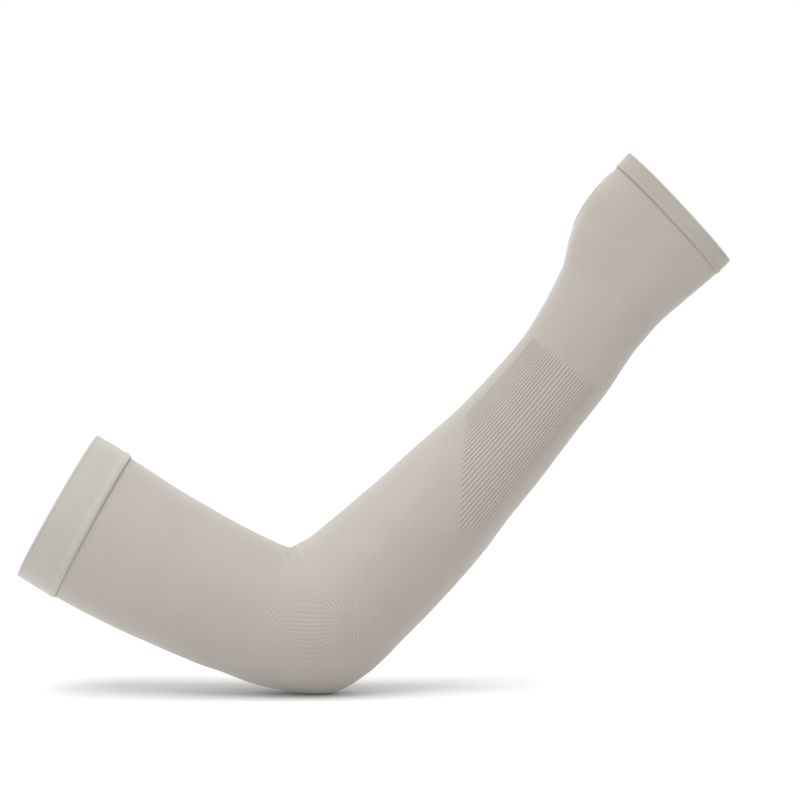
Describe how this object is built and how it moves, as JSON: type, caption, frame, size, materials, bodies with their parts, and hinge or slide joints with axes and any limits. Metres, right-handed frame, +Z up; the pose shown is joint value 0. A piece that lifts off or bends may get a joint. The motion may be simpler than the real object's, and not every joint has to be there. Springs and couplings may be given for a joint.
{
  "type": "arm sleeve",
  "caption": "Long knitted sleeve for the arm, bent at the elbow, with a wide folded cuff, a ribbed forearm panel and a thumb hole.",
  "frame": {"origin": "centre of the upper mouth, where the cuff grips the upper arm", "axes": "+X from the upper mouth towards the hand, +Z up as the bent arm is shown, -Y towards the viewer of the back of the hand"},
  "size_m": [0.4419, 0.095, 0.3364],
  "materials": {
    "knit": "fine matt grey-beige jersey knit",
    "cuff_knit": "soft folded knit band, slightly paler and greener",
    "hem_knit": "turned knit hem with a seam line",
    "binding_yarn": "rolled knit edge"
  },
  "bodies": {
    "root": {"sleeve_tube": "knit", "cuff_band": "cuff_knit", "hand_hem": "hem_knit", "thumb_hole_binding": "binding_yarn"}
  },
  "joints": []
}
